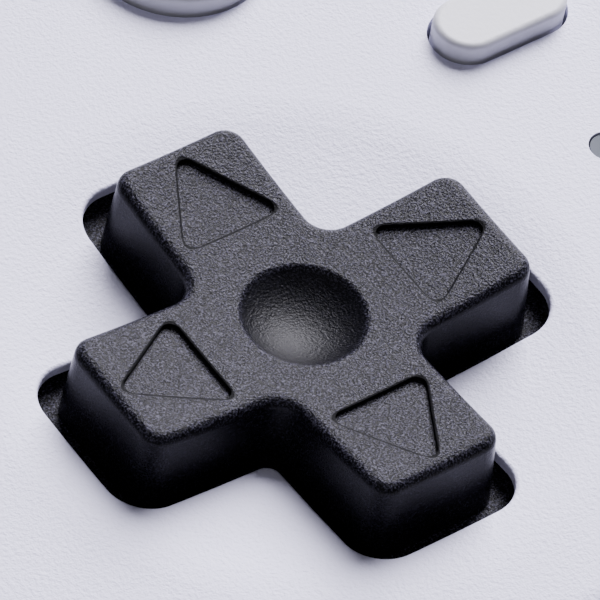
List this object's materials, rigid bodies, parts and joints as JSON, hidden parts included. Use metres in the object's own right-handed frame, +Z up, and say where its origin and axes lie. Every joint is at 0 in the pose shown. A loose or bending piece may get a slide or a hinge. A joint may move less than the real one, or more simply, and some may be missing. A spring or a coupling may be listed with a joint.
{
  "type": "gamepad controller",
  "caption": "Compact wireless gamepad with a black tilting directional cross in a round hollow, round thumb buttons, pill and round menu buttons, shoulder buttons and triggers on the far edge.",
  "frame": {"origin": "middle of the bounding box's underside: the plane that the controller rests on, under its middle", "axes": "+X along the length, from the cross to the thumb buttons; +Y from the player to the far edge with the shoulder buttons and the charging port; +Z up through the face"},
  "size_m": [0.14, 0.0644, 0.0212],
  "materials": {
    "housing": "light cool grey moulded plastic with a fine spark-eroded grain",
    "cross_black": "black moulded plastic, leathery grain on top and satin sides",
    "button_black": "black satin plastic",
    "button_grey": "light grey fine satin plastic, as the housing",
    "shoulder_black": "black fine-grained plastic",
    "clear_lens": "clear smoked plastic",
    "lamp_white": "white lamp body",
    "circuit_board": "green solder mask",
    "chip_black": "black moulded package",
    "switch_black": "black moulded switch",
    "rubber_grey": "soft silicone rubber",
    "nylon_white": "natural nylon",
    "steel": "plated steel",
    "screw_dark": "black zinc steel",
    "battery_foil": "foil pouch",
    "lead_red": "insulated wire"
  },
  "bodies": {
    "shell": {"top_shell": "housing", "rear_shell": "housing", "light_guide": "clear_lens", "status_leds": "lamp_white", "main_board": "circuit_board", "main_chip": "chip_black", "timing_crystal": "steel", "dpad_membrane": "rubber_grey", "face_membrane": "rubber_grey", "pill_membrane": "rubber_grey", "dpad_pivot_seat": "nylon_white", "usb_port_shell": "steel", "usb_port_tongue": "chip_black", "pair_switch": "switch_black", "case_screws": "screw_dark", "board_screws": "steel", "battery": "battery_foil", "battery_plug": "nylon_white", "battery_lead": "lead_red", "round_switch_left": "switch_black", "round_switch_right": "switch_black", "shoulder_pin_left": "steel", "shoulder_pin_right": "steel", "shoulder_switch_left": "switch_black", "shoulder_switch_right": "switch_black", "trigger_pin_left": "steel", "trigger_pin_right": "steel", "trigger_spring_left": "steel", "trigger_spring_right": "steel", "trigger_board_left": "circuit_board", "trigger_board_right": "circuit_board", "trigger_switch_left": "switch_black", "trigger_switch_right": "switch_black"},
    "dpad_pivot": {"dpad_pivot_ball": "steel"},
    "dpad": {"dpad": "cross_black"},
    "pair_button": {"pair_button": "button_grey"},
    "face_button_east": {"face_button_east": "button_black"},
    "face_button_north": {"face_button_north": "button_black"},
    "face_button_west": {"face_button_west": "button_black"},
    "face_button_south": {"face_button_south": "button_black"},
    "pill_button_left": {"pill_button_left": "button_grey"},
    "round_button_left": {"round_button_left": "button_grey"},
    "shoulder_button_left": {"shoulder_button_left": "shoulder_black"},
    "trigger_left": {"trigger_left": "shoulder_black"},
    "pill_button_right": {"pill_button_right": "button_grey"},
    "round_button_right": {"round_button_right": "button_grey"},
    "shoulder_button_right": {"shoulder_button_right": "shoulder_black"},
    "trigger_right": {"trigger_right": "shoulder_black"}
  },
  "joints": [
    {"name": "dpad_tilt_fore_aft", "type": "hinge", "parent": "shell", "child": "dpad_pivot", "pos_m": [-0.038, -0.00975, 0.0125], "axis": [1, 0, 0], "range_deg": [-2.4, 2.4], "stiffness_Nm_per_rad": 0.1, "deforming": ["dpad_membrane"]},
    {"name": "dpad_tilt_side", "type": "hinge", "parent": "dpad_pivot", "child": "dpad", "pos_m": [-0.038, -0.00975, 0.0125], "axis": [0, 1, 0], "range_deg": [-2.4, 2.4], "stiffness_Nm_per_rad": 0.1, "deforming": ["dpad_membrane"]},
    {"name": "face_button_east_press", "type": "slide", "parent": "shell", "child": "face_button_east", "axis": [0, 0, -1], "range_m": [0, 0.0012], "stiffness_N_per_m": 500, "deforming": ["face_membrane"]},
    {"name": "face_button_north_press", "type": "slide", "parent": "shell", "child": "face_button_north", "axis": [0, 0, -1], "range_m": [0, 0.0012], "stiffness_N_per_m": 500, "deforming": ["face_membrane"]},
    {"name": "face_button_west_press", "type": "slide", "parent": "shell", "child": "face_button_west", "axis": [0, 0, -1], "range_m": [0, 0.0012], "stiffness_N_per_m": 500, "deforming": ["face_membrane"]},
    {"name": "face_button_south_press", "type": "slide", "parent": "shell", "child": "face_button_south", "axis": [0, 0, -1], "range_m": [0, 0.0012], "stiffness_N_per_m": 500, "deforming": ["face_membrane"]},
    {"name": "pill_button_left_press", "type": "slide", "parent": "shell", "child": "pill_button_left", "axis": [0, 0, -1], "range_m": [0, 0.0008], "stiffness_N_per_m": 600, "deforming": ["pill_membrane"]},
    {"name": "round_button_left_press", "type": "slide", "parent": "shell", "child": "round_button_left", "axis": [0, 0, -1], "range_m": [0, 0.0008], "stiffness_N_per_m": 700},
    {"name": "shoulder_button_left_press", "type": "hinge", "parent": "shell", "child": "shoulder_button_left", "pos_m": [-0.0235, 0.02355, 0.0134], "axis": [0, 0, 1], "range_deg": [0, 2.5], "stiffness_Nm_per_rad": 0.6},
    {"name": "trigger_left_pull", "type": "hinge", "parent": "shell", "child": "trigger_left", "pos_m": [-0.041, 0.02225, 0.0079], "axis": [-1, 0, 0], "range_deg": [0, 10], "stiffness_Nm_per_rad": 0.08},
    {"name": "pill_button_right_press", "type": "slide", "parent": "shell", "child": "pill_button_right", "axis": [0, 0, -1], "range_m": [0, 0.0008], "stiffness_N_per_m": 600, "deforming": ["pill_membrane"]},
    {"name": "round_button_right_press", "type": "slide", "parent": "shell", "child": "round_button_right", "axis": [0, 0, -1], "range_m": [0, 0.0008], "stiffness_N_per_m": 700},
    {"name": "shoulder_button_right_press", "type": "hinge", "parent": "shell", "child": "shoulder_button_right", "pos_m": [0.0235, 0.02355, 0.0134], "axis": [0, 0, -1], "range_deg": [0, 2.5], "stiffness_Nm_per_rad": 0.6},
    {"name": "trigger_right_pull", "type": "hinge", "parent": "shell", "child": "trigger_right", "pos_m": [0.041, 0.02225, 0.0079], "axis": [-1, 0, 0], "range_deg": [0, 10], "stiffness_Nm_per_rad": 0.08},
    {"name": "pair_button_press", "type": "slide", "parent": "shell", "child": "pair_button", "axis": [0, -1, 0], "range_m": [0, 0.0004], "stiffness_N_per_m": 900}
  ]
}
